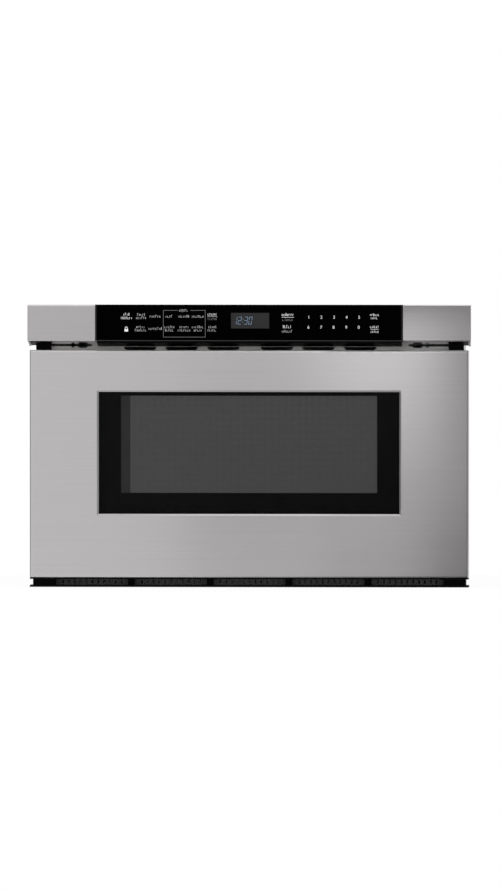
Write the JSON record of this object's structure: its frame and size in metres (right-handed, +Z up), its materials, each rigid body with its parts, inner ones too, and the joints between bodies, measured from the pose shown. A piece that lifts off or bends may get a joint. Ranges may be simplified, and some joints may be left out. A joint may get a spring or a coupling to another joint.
{
  "type": "microwave drawer",
  "caption": "Built-in microwave oven drawer: stainless door with a dark window, black glass control strip above it, and a motor-driven tub on telescopic slides.",
  "frame": {"origin": "middle of the footprint, on the surface the base stands on", "axes": "+X to the right across the front, +Y towards the back, +Z up; the door faces -Y"},
  "size_m": [0.606, 0.588, 0.386],
  "materials": {
    "aluminium": "mill finish",
    "black_glass": "glossy black control glass",
    "black_plastic": "black moulded plastic",
    "brass": "brass gear",
    "cap_grey": "dark grey satin end caps",
    "ceramic": "white glass ceramic",
    "circuit_board": "printed circuit board",
    "dark_screen": "dark grey perforated sheet",
    "display": "display window",
    "enamel": "light grey cavity enamel",
    "frame_steel": "plain grey steel",
    "galvanised": "zinc coated sheet",
    "gear_steel": "zinc plated steel",
    "gloss_black": "glossy black moulding",
    "lamination": "varnished laminated steel and copper windings",
    "motor_case": "zinc coated motor case",
    "painted_steel": "dark painted sheet",
    "screw_steel": "zinc plated screws",
    "stainless": "brushed stainless steel, fine grain",
    "white_plastic": "natural acetal",
    "window_glass": "tinted door glass with a black border"
  },
  "bodies": {
    "chassis": {"antenna_motor": "motor_case", "back_panel": "galvanised", "base_pan": "galvanised", "cavity_ceiling": "enamel", "cavity_floor": "enamel", "cavity_walls": "enamel", "control_boards": "circuit_board", "control_glass": "black_glass", "cord_gland": "black_plastic", "display_module": "display", "drawer_motor": "motor_case", "drive_brackets": "galvanised", "exhaust_duct": "galvanised", "fan_motor": "motor_case", "fan_shroud": "galvanised", "filter_board": "circuit_board", "front_frame": "frame_steel", "high_voltage_capacitor": "aluminium", "intake_channel": "black_plastic", "intake_screen": "dark_screen", "interlock_switches": "black_plastic", "left_side_panel": "galvanised", "magnetron": "aluminium", "outer_rails": "galvanised", "oven_lamp": "white_plastic", "panel_brackets": "black_plastic", "panel_caps": "cap_grey", "panel_chin": "gloss_black", "panel_housing": "black_plastic", "panel_skin": "stainless", "right_side_panel": "galvanised", "screws": "screw_steel", "sensors": "white_plastic", "shaft_bushes": "white_plastic", "top_cover": "galvanised", "transformer": "lamination", "waveguide": "galvanised"},
    "drawer": {"door_skin": "stainless", "window_gasket": "black_plastic", "door_glass": "window_glass", "door_screen": "dark_screen", "door_pan": "painted_steel", "choke_cover": "black_plastic", "inner_glass": "window_glass", "left_tub_wall": "enamel", "right_tub_wall": "enamel", "tub_rear_wall": "enamel", "tub_floor_frame": "enamel", "ceramic_floor": "ceramic", "inner_rails": "gear_steel", "drive_racks": "gear_steel", "door_brackets": "galvanised"},
    "left_slide": {"left_mid_rail": "gear_steel"},
    "right_slide": {"right_mid_rail": "gear_steel"},
    "drive_shaft": {"cross_shaft": "gear_steel", "drive_pinions": "gear_steel", "driven_gear": "white_plastic"},
    "motor_output": {"motor_gear": "brass"},
    "fan": {"fan_blade": "black_plastic"},
    "stirrer": {"antenna": "aluminium"}
  },
  "joints": [
    {"name": "drawer_slide", "type": "slide", "parent": "chassis", "child": "drawer", "axis": [0, -1, 0], "range_m": [0, 0.38]},
    {"name": "left_slide_extension", "type": "slide", "parent": "chassis", "child": "left_slide", "axis": [0, -1, 0], "range_m": [0, 0.19]},
    {"name": "right_slide_extension", "type": "slide", "parent": "chassis", "child": "right_slide", "axis": [0, -1, 0], "range_m": [0, 0.19]},
    {"name": "shaft_spin", "type": "hinge", "parent": "chassis", "child": "drive_shaft", "pos_m": [0, -0.215, 0.048], "axis": [1, 0, 0], "range_deg": [0, 1557]},
    {"name": "motor_output_spin", "type": "hinge", "parent": "chassis", "child": "motor_output", "pos_m": [0.147, -0.188, 0.048], "axis": [1, 0, 0], "range_deg": [-3112, 0]},
    {"name": "fan_spin", "type": "hinge", "parent": "chassis", "child": "fan", "pos_m": [-0.07, 0.233, 0.118], "axis": [1, 0, 0], "continuous": true},
    {"name": "stirrer_spin", "type": "hinge", "parent": "chassis", "child": "stirrer", "pos_m": [0, -0.038, 0.076], "axis": [0, 0, 1], "continuous": true}
  ],
  "couplings": [
    {"joint": "left_slide_extension", "follows": "drawer_slide", "ratio": 0.5},
    {"joint": "right_slide_extension", "follows": "drawer_slide", "ratio": 0.5},
    {"joint": "shaft_spin", "follows": "drawer_slide", "rad_per_m": 71.429},
    {"joint": "motor_output_spin", "follows": "drawer_slide", "rad_per_m": -142.86}
  ]
}
